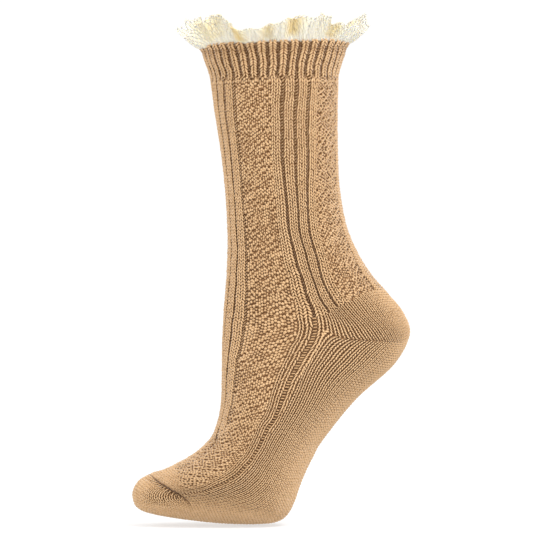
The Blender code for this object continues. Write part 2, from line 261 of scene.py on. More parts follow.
def toe(across, down):
    """The toe as a disc: its middle is the tip, its radius the section's half depth."""
    radius = np.hypot(across, down)
    degrees = np.degrees(np.arctan2(down, across))
    cap = TOE_HALF_DEPTH[-1]
    station = np.interp(-radius, -TOE_HALF_DEPTH, TOE_TABLE)
    wall = on_section(station, degrees)
    rim = on_section(np.full_like(radius, TOE_CAP), degrees)
    middle = (on_section(np.array(TOE_CAP), np.array(-90.0))
              + on_section(np.array(TOE_CAP), np.array(90.0))) / 2
    share = np.clip(radius / cap, 0.0, 1.0)[..., None]
    dome = middle + (rim - middle) * share + (TOE_TIP - middle) * (1 - share ** 2)
    return np.where((radius < cap)[..., None], dome, wall)


def curve_at(station, wale):
    return on_section(station, section_angle(station, wale))


def normal_of(surface, p, q, step_p, step_q):
    """The unit normal of a surface at its two parameters, pointing out of the sock."""
    along = surface(p + step_p, q) - surface(p - step_p, q)
    around = surface(p, q + step_q) - surface(p, q - step_q)
    normal = np.cross(along, around)
    return normal / np.maximum(np.linalg.norm(normal, axis=-1, keepdims=True), 1e-9)


TUBE_STEPS, TOE_STEPS = (0.04, 0.5), (0.3, 0.3)  # small steps, to find the slope


def tube_normal(station, degrees):
    return normal_of(tube, station, degrees, *TUBE_STEPS)


def toe_normal(across, down):
    return -normal_of(toe, across, down, *TOE_STEPS)


# ---- where the zones meet ----
def heel_line(wale):
    back = smooth_step(*HEEL_LINE_RISE, mirrored(wale))
    return mix(HEEL_LINE_SIDE, HEEL_LINE_BACK, back)


def toe_seam(wale):
    sole = smooth_step(*TOE_SEAM_DROP, mirrored(wale))
    return mix(TOE_SEAM_TOP, TOE_SEAM_SOLE, sole)


def heel_side(wale):
    """How many wales behind the side a wale lies, and the sign that leads it back."""
    wale = np.mod(wale, WALES)
    return mirrored(wale) - SIDE, np.where(wale > WALES / 2, -1.0, 1.0)


def mitre_station(wale):
    t, _ = heel_side(wale)
    tip = smooth_step(*MITRE_TIP_WALES, t)
    start = MITRE_STATION - MITRE_START_RISE * np.exp(-np.abs(t) / MITRE_START_WALES)
    return mix(start, MITRE_TIP_STATION, tip)


def mitre_swing(wale):
    t, _ = heel_side(wale)
    return MITRE_SWING * np.sin(math.pi * t / (WALES / 2 - SIDE))


# ---- seam and creases ----
CHUNK = 20000  # points looked at together, to spare memory
CURVE_POINTS, CREASE_POINTS = 400, 120


def nearest(points, curve):
    """The distance from each point to a curve's nearest point, and that point's index."""
    distance = np.empty(points.shape[:-1])
    index = np.empty(points.shape[:-1], int)
    flat = points.reshape(-1, 3)
    flat_distance, flat_index = distance.reshape(-1), index.reshape(-1)
    for low in range(0, len(flat), CHUNK):
        own = slice(low, low + CHUNK)
        gaps = np.linalg.norm(flat[own, None] - curve[None], axis=-1)
        flat_index[own] = gaps.argmin(axis=1)
        flat_distance[own] = gaps.min(axis=1)
    return distance, index


def seam_relief(points, toe_side):
    """How far the cloth by the toe's seam lies above its plain surface."""
    wale = np.linspace(-SEAM_REACH, SEAM_REACH, CURVE_POINTS)
    distance, index = nearest(points, curve_at(toe_seam(wale), wale))
    own = wale[index]
    fade = 1 - smooth_step(*SEAM_FADE, np.abs(own))
    fade = fade * (SEAM_TOP_SHARE + (1 - SEAM_TOP_SHARE) * smooth_step(*SEAM_TOP, np.abs(own)))
    fade = fade * (1 - (1 - SEAM_END_SHARE) * smooth_step(*SEAM_END, np.abs(own)))
    relief = -SEAM_SINK * bell(distance, SEAM_WIDTH)
    bulge = BULGE_RISE * bell(distance - BULGE_FROM, BULGE_WIDTH)
    pleat = (0.5 + 0.5 * np.cos(2 * math.pi * own)) ** PLEAT_SHARP
    pleats = PLEAT_SINK * pleat * bell(distance, PLEAT_REACH)
    return (relief + np.where(toe_side, -pleats, bulge)) * fade


def crease_relief(points):
    total = 0.0
    row = catmull_rom(CREASE, np.linspace(0, len(CREASE) - 1, CREASE_POINTS))
    for side in (-1, 1):
        distance, index = nearest(points, curve_at(row[:, 0], side * row[:, 1]))
        total = total - row[index, 2] * bell(distance, CREASE_WIDTH)
    return total


def mitre_relief(points):
    """A small hollow at each chevron's point, where a wale turns back."""
    wale = np.linspace(SIDE + 1, WALES - SIDE - 1, CURVE_POINTS)
    _, sign = heel_side(wale)
    curve = curve_at(mitre_station(wale), wale + sign * mitre_swing(wale))
    distance, index = nearest(points, curve)
    behind, _ = heel_side(wale[index])
    hollow = (0.5 + 0.5 * np.cos(2 * math.pi * behind)) * (1 - smooth_step(*MITRE_FADE, behind))
    return -MITRE_SINK * hollow * bell(distance, MITRE_WIDTH)


def instep_shape(points):
    return seam_relief(points, False) + crease_relief(points)


def sole_shape(points):
    return seam_relief(points, False) + mitre_relief(points)


def toe_shape(points):
    return seam_relief(points, True)


# ---- zones of knit ----
class Zone:
    """A patch of knit: wale lines every half wale, each read by its share of its length."""

    def __init__(self, first, last, line, surface=tube, normal=tube_normal):
        self.first, self.last = first, last
        wales = np.linspace(first, last, 2 * (last - first) + 1)
        t = np.linspace(0.0, 1.0, LINE_SAMPLES + 1)
        p, q = line(wales[:, None], t[None, :])
        p, q = np.broadcast_arrays(p, q)
        points = surface(p, q)
        steps = np.linalg.norm(np.diff(points, axis=1), axis=-1)
        reach = np.concatenate([np.zeros((len(wales), 1)), np.cumsum(steps, axis=1)], axis=1)
        self.length = reach[:, -1]
        shares = reach / np.maximum(self.length, 1e-6)[:, None]
        even = [np.stack([np.interp(t, *row) for row in zip(shares, a)]) for a in (p, q)]
        self.points, self.normals, self.p = surface(*even), normal(*even), even[0]

    def read(self, table, wale, share):
        """A table of the zone at any wale and share, and past its edges in a straight line."""
        x = (wale - self.first) * 2
        y = share * LINE_SAMPLES
        i = np.clip(np.floor(x).astype(int), 0, table.shape[0] - 2)
        j = np.clip(np.floor(y).astype(int), 0, table.shape[1] - 2)
        wx, wy = x - i, y - j
        if table.ndim == 3:
            wx, wy = wx[..., None], wy[..., None]
        return mix(mix(table[i, j], table[i + 1, j], wx),
                   mix(table[i, j + 1], table[i + 1, j + 1], wx), wy)

    def cells(self, rows=None):
        """Each stitch's column, row, start and share of its wale line.

        Rows is the number of courses, or else each is about COURSE high.
        """
        columns = range(self.last - self.first)
        counts = [rows or max(1, round(self.length[2 * c + 1] / COURSE)) for c in columns]
        row = np.concatenate([np.arange(count) for count in counts])
        count = np.repeat(counts, counts)
        return np.repeat(np.arange(self.first, self.last), counts), row, row / count, 1 / count


def along_tube(start, end):
    def line(wale, t):
        station = mix(start(wale), end(wale), t)
        return station, section_angle(station, wale)
    return line


def constant(station):
    return lambda wale: np.full(np.shape(wale), float(station))


def upper_heel_line(wale, t):
    _, sign = heel_side(wale)
    station = mix(heel_line(wale), mitre_station(wale), t)
    return station, section_angle(station, wale + sign * mitre_swing(wale) * t ** SWING_RUSH)


def sole_line(wale, t):
    behind, sign = heel_side(wale)
    start = mitre_station(wale)
    station = mix(start, toe_seam(wale), t)
    below = station - start
    dip = (DIP_START + DIP_SLOPE * behind) * (1 - smooth_step(*DIP_FADE, behind))
    speed = np.clip(DIP_SPEED * behind, *DIP_SPEED_RANGE)
    swing = ((mitre_swing(wale) + dip) * np.exp(-below / speed)
             - dip * (1 - smooth_step(*DIP_END, below)))
    return station, section_angle(station, wale + sign * swing)


def toe_line(wale, t):
    """From the sole round the toe to its seam, straight across the toe's disc."""
    ends = []
    for at in (WALES / 2 + wale, -wale):
        station = toe_seam(at)
        radius = catmull_rom(SECTIONS, station)[..., 4]
        angle = np.radians(section_angle(station, at))
        ends.append((radius * np.cos(angle), radius * np.sin(angle)))
    return tuple(mix(a, b, t) for a, b in zip(*ends))


ZONES = {
    "cuff": Zone(0, WALES, along_tube(constant(-CUFF_ROLL), constant(CUFF_END))),
    "leg": Zone(0, WALES, along_tube(constant(CUFF_END - CUFF_LAP), heel_line)),
    "instep": Zone(-SIDE, SIDE, along_tube(heel_line, toe_seam)),
    "upper_heel": Zone(SIDE, WALES - SIDE, upper_heel_line),
    "sole": Zone(SIDE, WALES - SIDE, sole_line),
    "toe": Zone(-TOE_WALES // 2, TOE_WALES // 2, toe_line, toe, toe_normal),
}


# ---- the pattern ----
KNIT, VALLEY, DOT, NUB, FINE = range(5)  # kinds of stitch


def counted(column):
    """A column's number from the front on either side, 0 to 41."""
    column = np.mod(column, WALES)
    return np.where(column < WALES // 2, column, WALES - 1 - column)


def in_panel(column):
    found = np.zeros(np.shape(column), bool)
    for first, last in PANELS:
        found |= (column >= first) & (column < last)
    return found


NUB_ROWS = 200
NUB_CELLS = chance.random((WALES, NUB_ROWS)) < 0.5


def is_nub(column, row):
    """Whether a panel's cell holds the larger grains; which ones do is left to chance."""
    return NUB_CELLS[np.mod(column, WALES), np.mod(row, NUB_ROWS)]


def rib_depth(station):
    return RIB_DEPTH[0] + (RIB_DEPTH[1] - RIB_DEPTH[0]) * smooth_step(*RIB_DEEPENS, station)


def valley_depth(own, station):
    return rib_depth(station) * np.where(np.isin(own, SOFT_WALES), SOFT_SHARE, 1.0)


def cuff_pattern(column, row, station):
    """A rib of single columns, which turns into the leg's pattern over its last rows."""
    purl = column % 2 == 1
    knob = (KNOB_RISE * bell(row - KNOB_ROW, KNOB_REACH)
            - COLLAR_DIP * bell(row - COLLAR_ROW, COLLAR_REACH))
    near = smooth_step(*CUFF_BLEND, (row + 0.5) / CUFF_ROWS)
    leg_kind, leg_lift = leg_pattern(column, row, station)
    own_kind = np.where(purl, VALLEY, KNIT)
    lift = mix(np.where(purl, -CUFF_RIB_DEPTH, knob), leg_lift, near)
    return np.where(near > 0.5, leg_kind, own_kind), lift


def panel_lift(nub):
    return -PANEL_DEPTH + np.where(nub, NUB_RISE, -NUB_DIP)


def leg_pattern(column, row, station):
    own = counted(column)
    panel = in_panel(own)
    nub = panel & is_nub(own, row)
    valley = np.isin(own, PURL_WALES)
    lift = np.where(panel, panel_lift(nub), np.where(valley, -valley_depth(own, station), 0.0))
    kind = np.where(valley, VALLEY, KNIT)
    return np.where(panel, np.where(nub, NUB, DOT), kind), lift


def taken_in(own, station):
    """How far the front panel's pattern has spread over a column beside it, 0 to 1."""
    place = PANELS[0][0] - own
    start = SPREAD_FROM + SPREAD_STEP * place
    beside = (place > 0) & (place <= SPREAD_COLUMNS)
    return np.where(beside, smooth_step(start, start + SPREAD_BLEND, station), 0.0)


def pattern_fade(station):
    return 1 - smooth_step(PATTERN_END - PATTERN_FADE, PATTERN_END, station)


def instep_pattern(column, row, station):
    own = counted(column)
    kind, lift = leg_pattern(column, row, station)
    spread = taken_in(own, station)
    nub = is_nub(own, row)
    kind = np.where(spread > 0.5, np.where(nub, NUB, DOT), kind)
    lift = mix(lift, panel_lift(nub), spread)
    fade = pattern_fade(station)
    fine = (fade <= PATTERN_GONE) | (kind == KNIT) & (own >= PANELS[0][1])
    return np.where(fine, FINE, kind), lift * fade


def ladder_pattern(column, row, station):
    fade = pattern_fade(station - LADDER_LATE)
    return np.where(fade > PATTERN_GONE, VALLEY, FINE), -LADDER_DEPTH * fade


def plain_pattern(column, row, station):
    return np.full(column.shape, FINE), np.zeros(column.shape)


def column_edges(*draws):
    """Where the columns' edges lie: purl columns draw together between knit ones."""
    edges = np.arange(WALES + 1, dtype=float)
    for columns, shift in draws:
        for column in columns:
            edges[column] += shift
            edges[column + 1] -= shift
    return edges


def matching(wales):
    """The columns on both sides that are counted among these wales."""
    return np.nonzero(np.isin(counted(np.arange(WALES)), wales))[0]


# ---- yarn ----
# A stitch's template: the rings of a short length of yarn, from tip to tip, as across,
# along, up and half the ring's width, or its height for a yarn that lies crosswise. Up
# is millimetres, and the others are shares of the stitch's width and height.
KNIT_LEG = [
    (0.07, -0.30, -0.55, 0.0),
    (0.14, 0.02, 0.14, 0.120),
    (0.25, 0.44, 0.32, 0.160),
    (0.36, 0.84, 0.18, 0.125),
    (0.43, 1.16, -0.50, 0.0),
]
FINE_LEG = [  # on the plain heel, sole and toe
    (0.13, -0.34, -0.75, 0.0),
    (0.17, 0.04, 0.20, 0.095),
    (0.235, 0.45, 0.40, 0.115),
    (0.30, 0.86, 0.20, 0.095),
    (0.34, 1.24, -0.75, 0.0),
]
VALLEY_BAR = [  # the slanting yarn at the bottom of a rib's valley
    (-0.62, 1.15, -0.50, 0.0),
    (-0.32, 0.82, 0.48, 0.14),
    (0.00, 0.50, 0.70, 0.18),
    (0.32, 0.18, 0.48, 0.14),
    (0.62, -0.15, -0.50, 0.0),
]
RUNG = [  # a rung of the ladder
    (-0.66, 0.50, -0.45, 0.0),
    (-0.40, 0.50, 0.36, 0.29),
    (0.00, 0.50, 0.44, 0.24),
    (0.40, 0.50, 0.36, 0.29),
    (0.66, 0.50, -0.45, 0.0),
]
RING = [(-1.0, -0.55), (-0.55, 0.0), (0.55, 0.0), (1.0, -0.55)]  # sideways share, up
TIP_LENGTH = 3.2  # millimetres of yarn in one stitch, for its ply


def strand(rows, crosswise):
    """Points (across, along, up, yarn's length, side) and faces of one template."""
    points, rings, faces = [], [], []
    for k, (across, along, up, half) in enumerate(rows):
        travel = k / (len(rows) - 1)
        if half == 0.0:
            rings.append([len(points)] * len(RING))
            points.append((across, along, up, travel, 0.0))
            continue
        rings.append(list(range(len(points), len(points) + len(RING))))
        for sideways, rise in RING:
            a, b = across, along
            if crosswise:
                b = b + sideways * half
            else:
                a = a + sideways * half
            points.append((a, b, up + rise, travel, sideways))
    for low, high in zip(rings, rings[1:]):
        for k in range(len(RING) - 1):
            face = list(dict.fromkeys([low[k], low[k + 1], high[k + 1], high[k]]))
            faces.append(face if crosswise else face[::-1])
    return np.array(points), faces


def flipped(points, faces):
    mirror = points.copy()
    mirror[:, 0] *= -1
    return mirror, [face[::-1] for face in faces]


def joined(*parts):
    points, faces, offset = [], [], 0
    for own_points, own_faces in parts:
        points.append(own_points)
        faces += [[v + offset for v in face] for face in own_faces]
        offset += len(own_points)
    return np.vstack(points), faces


def knit_template(leg):
    right = strand(leg, crosswise=False)
    return joined(right, flipped(*right))


def bobble(across, along, size):
    """An upright grain of yarn whose middle lies at a place in the cell."""
    return [(across, along - 0.48 * size, -0.40, 0.0),
            (across, along - 0.20 * size, 0.10, 0.20 * size),
            (across, along, 0.24 * size, 0.26 * size),
            (across, along + 0.20 * size, 0.10, 0.20 * size),
            (across, along + 0.48 * size, -0.40, 0.0)]


def grains(size, *places):
    """A panel's cell: two grains side by side, one about half a course above the other."""
    return joined(*(strand(bobble(*place, size), crosswise=False) for place in places))


GRAIN, NUB_GRAIN = 0.92, 1.10
RIB_TEMPLATES = {KNIT: knit_template(KNIT_LEG), VALLEY: strand(VALLEY_BAR, crosswise=True),
                 DOT: grains(GRAIN, (-0.27, 0.20), (0.23, 0.68)),
                 NUB: grains(NUB_GRAIN, (-0.23, 0.74), (0.27, 0.30)),
                 FINE: knit_template(FINE_LEG)}
LADDER_TEMPLATES = {FINE: knit_template(FINE_LEG), VALLEY: strand(RUNG, crosswise=True)}


def place_object(name, data):
    thing = bpy.data.objects.new(name, data)
    bpy.context.scene.collection.objects.link(thing)
    return thing


def build_mesh(name, points, faces, material, **attributes):
    """A mesh object from points in millimetres, with point attributes."""
    mesh = bpy.data.meshes.new(name)
    mesh.from_pydata((points * MM).tolist(), [], faces)
    mesh.update()
    for key, values in attributes.items():
        kind, field = ("FLOAT_VECTOR", "vector") if values.ndim == 2 else ("FLOAT", "value")
        layer = mesh.attributes.new(key, kind, "POINT")
        layer.data.foreach_set(field, values.astype(np.float32).ravel())
    mesh.shade_smooth()
    mesh.materials.append(material)
    return place_object(name, mesh)


def across_edges(edges, column, across):
    """The wale at a place across each column, whose middle is 0 and whose width is 1."""
    turns = column - np.mod(column, WALES)
    left = (edges[np.mod(column, WALES)] + turns)[:, None]
    right = (edges[np.mod(column, WALES) + 1] + turns)[:, None]
    return (left + right) / 2 + across * (right - left)


def plain_contrast(station):
    """Stronger painted shade between the stitches below the heel's mitre than on the sole."""
    heel = smooth_step(*HEEL_CONTRAST_START, station)
    heel = heel * (1 - smooth_step(*HEEL_CONTRAST_END, station))
    return SOLE_CONTRAST + (HEEL_CONTRAST - SOLE_CONTRAST) * heel


# How far chance widens a stitch, shifts it across and along, and lifts it.
JITTER_WIDTH, JITTER_ACROSS, JITTER_ALONG, JITTER_UP = 0.06, 0.03, 0.045, 0.07
PLY_SHIFT = 0.37  # of yarn, from one stitch's ply to the next one's


def knit_piece(name, zone, pattern, edges, material, rows=None, keep=None, shape=None,
               templates=RIB_TEMPLATES, contrast=RIB_CONTRAST, uneven=1.0, blend=None):
    """The stitches of a zone as one mesh of yarn, in the columns that keep(column) picks.

    Painted shade darkens the yarn's sides by contrast, a number or a function of the
    station. Blend is (other edges, start, end): the columns' edges turn into the other
    ones between two shares of the zone's length.
    """
    column, row, cell_start, cell_size = zone.cells(rows)
    own_station = zone.read(zone.p, column + 0.5, cell_start + cell_size / 2)
    kind, lift = pattern(column, row, own_station)
    chosen = np.ones(len(column), bool) if keep is None else keep(column)
    all_points, faces, depths, yarns, offset = [], [], [], [], 0
    for which, (template, template_faces) in templates.items():
        mine = np.nonzero((kind == which) & chosen)[0]
        n, size = len(mine), len(template)
        if n == 0:
            continue
        c = column[mine]
        t_across, t_along, t_up = (template[None, :, k] for k in range(3))
        jitter = uneven * chance.normal(size=(n, 4))
        across = t_across * (1 + JITTER_WIDTH * jitter[:, 0:1]) + JITTER_ACROSS * jitter[:, 1:2]
        along = t_along + JITTER_ALONG * jitter[:, 2:3]
        share = cell_start[mine][:, None] + along * cell_size[mine][:, None]
        wale = across_edges(edges, c, across)
        if blend is not None:
            other, start, end = blend
            weight = smooth_step(start, end, share)
            wale = mix(wale, across_edges(other, c, across), weight)
        up = t_up + lift[mine][:, None] + JITTER_UP * jitter[:, 3:4] - YARN_SINK
        base = zone.read(zone.points, wale, share)
        normal = zone.read(zone.normals, wale, share)
        relief = np.zeros(up.shape) if shape is None else shape(base)
        all_points.append((base + normal * (up + relief)[..., None]).reshape(-1, 3))
        # The depth attribute sets painted shade in the hollows, sunk valleys and seams, and a painted
        # highlight on the crests; contrast deepens the painted shade at the yarn's sides.
        sunk = np.minimum(lift[mine], 0)[:, None] + np.minimum(relief, 0)
        strength = contrast(own_station[mine])[:, None] if callable(contrast) else contrast
        depths.append((strength * t_up + sunk).ravel())
        tone = np.repeat(chance.normal(size=n), size)
        length = np.tile(template[:, 3] * TIP_LENGTH, n) + np.repeat(mine * PLY_SHIFT, size)
        yarns.append(stacked(length, np.tile(template[:, 4], n), tone))
        starts = offset + np.arange(n) * size
        for face in template_faces:
            faces += (starts[:, None] + np.array(face)[None, :]).tolist()
        offset += n * size
    return build_mesh(name, np.vstack(all_points), faces, material,
                      depth=np.concatenate(depths), yarn=np.vstack(yarns))


# ---- materials ----
def settle(node, values):
    """Sets a node's own sockets, for what is the same all over the surface."""
    for socket, value in values.items():
        node.inputs[socket].default_value = value


class Look:
    """A material, its shader and the nodes that feed it."""

    def __init__(self, name, values):
        self.material = bpy.data.materials.new(name)
        self.material.use_nodes = True
        self.tree = self.material.node_tree
        self.shader = self.tree.nodes["Principled BSDF"]
        settle(self.shader, values)

    def node(self, kind, values=None, **sources):
        """A new node, with some sockets set and others linked."""
        node = self.tree.nodes.new("ShaderNode" + kind)
        settle(node, values or {})
        for socket, source in sources.items():
            self.tree.links.new(source, node.inputs[socket])
        return node

    def maths(self, operation, a, b=0.0):
        node = self.node("Math")
        node.operation = operation
        for socket, value in zip(node.inputs, (a, b)):
            if isinstance(value, (int, float)):
                socket.default_value = value
            else:
                self.tree.links.new(value, socket)
        return node.outputs[0]

    def plus(self, a, b):
        return self.maths("ADD", a, b)

    def times(self, a, b):
        return self.maths("MULTIPLY", a, b)

    def attribute(self, name):
        node = self.node("Attribute")
        node.attribute_name = name
        return node.outputs

    def parts(self, name):
        """The three numbers that a vector attribute holds."""
        return self.node("SeparateXYZ", Vector=self.attribute(name)["Vector"]).outputs

    def noise(self, scale, strength):
        """A fine noise on the object, and the same about zero at some strength."""
        place = self.node("TexCoord").outputs["Object"]
        noise = self.node("TexNoise", {"Scale": scale, "Detail": 3.0}, Vector=place)
        value = noise.outputs["Fac"]
        return value, self.times(self.plus(value, -0.5), strength)

    def ramp(self, source, *stops):
        node = self.node("ValToRGB", Fac=source)
        elements = node.color_ramp.elements
        while len(elements) < len(stops):
            elements.new(0.5)
        for element, (place, colour) in zip(elements, stops):
            element.position = place
            element.color = (*colour, 1.0)
        return node.outputs["Color"]

    def colour(self, source):
        self.tree.links.new(source, self.shader.inputs["Base Color"])

    def bump(self, height, strength, distance):
        node = self.node("Bump", {"Strength": strength, "Distance": distance}, Height=height)
        self.tree.links.new(node.outputs["Normal"], self.shader.inputs["Normal"])


# The yarn's colours: the darkest two are painted shade, for its hollows and the ground under it; the
# tan is its own colour; the lightest is a painted highlight for its crests.
CREVICE_SHADE = (0.095, 0.040, 0.013)
SHADOW = (0.270, 0.140, 0.060)
TAN = (0.565, 0.345, 0.162)
CREST_HIGHLIGHT = (0.715, 0.470, 0.248)
DEPTH_ZERO, DEPTH_SCALE = 1.75, 0.46  # from millimetres of depth to a place on the ramp
YARN_TONE, YARN_GRAIN = 0.045, 0.25  # how far chance and the noise move that place
PLY_WAVES, PLY_LEAN, PLY_SHARE = 7.5, 2.2, 0.5
LOOP_BEND = 1.3
# The lace's cream is its own colour; the tan is painted shade for its folds.
LACE_FOLD_SHADE = (0.66, 0.46, 0.21)
LACE_WHITE = (0.87, 0.775, 0.59)


def yarn_material():
    """Cotton yarn, with painted shade between the stitches, a painted highlight on their crests, and a
    fine ply.
    """
    look = Look("tan_yarn", {"Roughness": 0.88, "Specular IOR Level": 0.25,
                             "Sheen Weight": 0.8, "Sheen Roughness": 0.4})
    length, side, tone = look.parts("yarn")
    noise, grain = look.noise(900.0, YARN_GRAIN)
    # The lower the yarn lies, the deeper its painted shade; its crests take the painted highlight.
    raised = look.plus(look.attribute("depth")["Fac"], DEPTH_ZERO)
    height = look.plus(look.times(raised, DEPTH_SCALE), look.times(tone, YARN_TONE))
    look.colour(look.ramp(look.plus(height, grain),
                          (0.05, CREVICE_SHADE), (0.42, SHADOW), (0.72, TAN), (1.0, CREST_HIGHLIGHT)))
    turns = look.plus(look.times(length, PLY_WAVES), look.times(side, PLY_LEAN))
    ply = look.times(look.maths("SINE", turns), PLY_SHARE)
    look.bump(look.plus(ply, noise), 0.5, 0.00018)
    return look.material


def ground_material():
    """The knit's back: rows of purl loops in painted shade colours, darker under the stitches than
    inside.
    """
    look = Look("tan_ground", {"Roughness": 0.92, "Specular IOR Level": 0.2})
    wale, reach, inner = look.parts("place")
    bend = look.times(look.maths("SINE", look.times(wale, 2 * math.pi)), LOOP_BEND)
    turn = look.plus(look.times(reach, 2 * math.pi / COURSE), bend)
    # The third socket of multiply-add is 0.5 by default, so the loops run from 0 to 1.
    loops = look.maths("MULTIPLY_ADD", look.maths("SINE", turn), 0.5)
    faces = look.node("Mix", Factor=inner)
    faces.data_type = "RGBA"
    # Of its sockets for colours, 6 and 7 are the two mixed and 2 is the result.
    # Outside, under the stitches, the loops run between two painted shade colours; inside, from
    # painted shade to the yarn's tan.
    look.tree.links.new(look.ramp(loops, (0.0, CREVICE_SHADE), (1.0, SHADOW)), faces.inputs[6])
    look.tree.links.new(look.ramp(loops, (0.0, SHADOW), (0.6, TAN)), faces.inputs[7])
    look.colour(faces.outputs[2])
    look.bump(loops, 0.7, 0.0005)
    return look.material


def lace_material():
    """Cream cotton, with tan painted shade in the ruffle's folds."""
    look = Look("cream_lace", {
        "Roughness": 0.85, "Specular IOR Level": 0.3, "Subsurface Weight": 0.7,
        "Subsurface Radius": (1.0, 0.8, 0.5), "Subsurface Scale": 0.003})
    noise, grain = look.noise(700.0, 0.6)
    tone = look.plus(look.attribute("fold")["Fac"], grain)
    look.colour(look.ramp(tone, (0.0, LACE_FOLD_SHADE), (0.75, LACE_WHITE)))
    look.bump(noise, 0.4, 0.0002)
    return look.material


# ---- the ground ----
def relief_at(station, wale):
    """How far the knit's face lies below the plain tube, in millimetres."""
    column = np.floor(wale)
    total = 0.0
    for shift in (-0.25, 0.25):
        c = np.mod(np.floor(wale + shift), WALES).astype(int)
        row = np.ones_like(c)
        _, cuff = cuff_pattern(c, row, station)
        own = counted(c)
        leg = np.where(np.isin(own, PURL_WALES), -valley_depth(own, station), 0.0)
        leg = np.where(in_panel(own), PANEL_GROUND, leg)
        foot = np.where(own == LADDER_WALE, -LADDER_DEPTH, leg)
        spread = taken_in(own, station)
        foot = mix(foot, PANEL_GROUND, spread)
        foot = np.where(own < SIDE, foot, 0.0) * pattern_fade(station)
        depth = np.where(station < CUFF_END, cuff, np.where(station < heel_line(wale), leg, foot))
        total = total + GROUND_RELIEF * depth / 2
    return total


def ground_shape(station, wale, points):
    """The seam and the creases, on the ground of the instep and the toe."""
    beyond = station > toe_seam(wale)
    relief = seam_relief(points, beyond) + crease_relief(points)
    upper = (mirrored(wale) <= SEAM_REACH) | beyond
    return np.where(upper & (station > CREASE[0, 0] - 2), relief, 0.0)


GROUND_STEP = 0.125  # of a section, between the ground's rows
INNER_STEP = 0.25
CAP_ROWS, CAP_ROW_LENGTH = 5, 2.5


def ground_rows(step, sink, columns, inside):
    """Rings of the ground from the cuff's edge to the toe's tip."""
    wale = np.arange(columns) * WALES / columns
    inner = np.full(columns, float(inside))
    rows, places = [], []
    reach = np.zeros(columns)
    last = None
    for station in np.arange(-CUFF_ROLL, TOE_CAP, step):
        where = np.full(columns, station)
        degrees = section_angle(where, wale)
        base = tube(where, degrees)
        lift = np.full(columns, -sink)
        if not inside:
            lift = lift + relief_at(where, wale) + ground_shape(where, wale, base)
        if last is not None:
            reach = reach + np.linalg.norm(base - last, axis=-1)
        last = base
        rows.append(base + tube_normal(where, degrees) * lift[:, None])
        places.append(stacked(wale, reach, inner))
    for k in range(CAP_ROWS):
        share = 1 - k / CAP_ROWS
        degrees = np.radians(section_angle(np.full(columns, TOE_CAP), wale))
        radius = TOE_HALF_DEPTH[-1] * share
        across, down = radius * np.cos(degrees), radius * np.sin(degrees)
        base = toe(across, down)
        rows.append(base - toe_normal(across, down) * sink)
        places.append(stacked(wale, reach + k * CAP_ROW_LENGTH, inner))
    return rows, places


def knit_ground(material):
    """The closed wall under the stitches: an outer and an inner face, joined at the cuff."""
    points, places, faces, edges = [], [], [], []
    count = 0
    for inside, columns, step, sink in ((False, 2 * WALES, GROUND_STEP, GROUND_DEPTH),
                                        (True, WALES, INNER_STEP, INNER_DEPTH)):
        rows, tags = ground_rows(step, sink, columns, inside)
        index = count + np.arange(len(rows) * columns).reshape(len(rows), columns)
        beside = np.roll(index, -1, axis=1)
        tip = count + index.size
        points += [*rows, (TOE_TIP + np.array([sink, 0, 0]))[None]]
        places += [*tags, np.array([[0.0, 0.0, float(inside)]])]
        quads = stacked(index[:-1], index[1:], beside[1:], beside[:-1]).reshape(-1, 4)
        fan = stacked(index[-1], np.full(columns, tip), beside[-1])
        for part in (quads, fan):
            faces += (part[:, ::-1] if inside else part).tolist()
        edges.append(index[0])
        count = tip + 1
    outer, inner = edges
    for k in range(WALES):
        a, b, c = outer[2 * k], outer[2 * k + 1], outer[(2 * k + 2) % (2 * WALES)]
        faces.append([a, b, c, inner[(k + 1) % WALES], inner[k]])
    return build_mesh("knit_ground", np.vstack(points), [list(map(int, f)) for f in faces],
                      material, place=np.vstack(places))


# ---- the lace ruffle ----
RUFFLE_WAVES = np.array([
    # angle, out, rise, shade: 0 at the back, 90 at the photographed side, 180 at the front
    (2, 13, 9, 0.1), (11, 9.5, 5.5, 0.1), (27, 9.5, 8.5, 0), (40, 3, 10, 0.9),
    (55, 10, 15, 0.3), (66, 14, 13.5, 0), (76, 2, 14, 1), (86, 12, 11.5, 0.2),
    (96, 1.5, 9.5, 0.7), (105, 15, 7.5, 0), (116, 13, 8, 1), (126, 5, 14, 0.3),
    (134, 5, 18, 0.5), (146, 9, 14, 0.6), (160, 14, 5.5, 0),
    (172, 15, 8.5, 0.1), (180, 14, 11.5, 0.2), (188, 10, 16, 0.2),
    (196, 4, 18, 0.5), (208, 10, 13, 0.2), (222, 13.5, 12, 0),
    (235, 2.5, 14.5, 0.6), (249, 13, 10.5, 0.1), (268, 1.5, 8, 0.8), (281, 13, 7.5, 0.1),
    (292, 2, 12, 0.9), (305, 11, 12.5, 0.2), (318, 13.5, 7.5, 0.1),
    (335, 3, 9, 0.9), (345, 11.5, 17, 0.3), (354, 13, 13, 0.1),
], float)
RUFFLE_FOOT = 2.0
RUFFLE_OUT = 14.0  # a full lobe's reach; a lobe bellies out and droops in its share
RUFFLE_FLARE, RUFFLE_BELLY, RUFFLE_DROOP = 1.2, 0.7, 2.4
SIDE_STIFFNESS, SIDE_FLARE = 0.6, 0.5  # lobes at the sides droop less and flare higher up
RIPPLE_OUT, RIPPLE_RISE = 0.9, 0.8
RIPPLES_OUT, RIPPLES_RISE, RIPPLE_START = 23, 31, 1.0  # waves round, and where one starts
RUFFLE_STEPS = (0.02, 0.4)  # small steps, to find the slope
WHITEST, SHADE_SHARE, SHADE_FROM = 0.9, 0.85, (0.1, 0.5)
LACE_COLUMNS = 210
LACE_ROWS = 9
LACE_SIDES = 4
LACE_GUIDE = np.array([0.31, 0.17, 0.93])  # any way that no yarn runs along
NET_WOBBLE, NET_WOBBLE_UP = 0.22, 0.6
NET_LAP = 0.08  # a yarn runs on past its nodes by this share
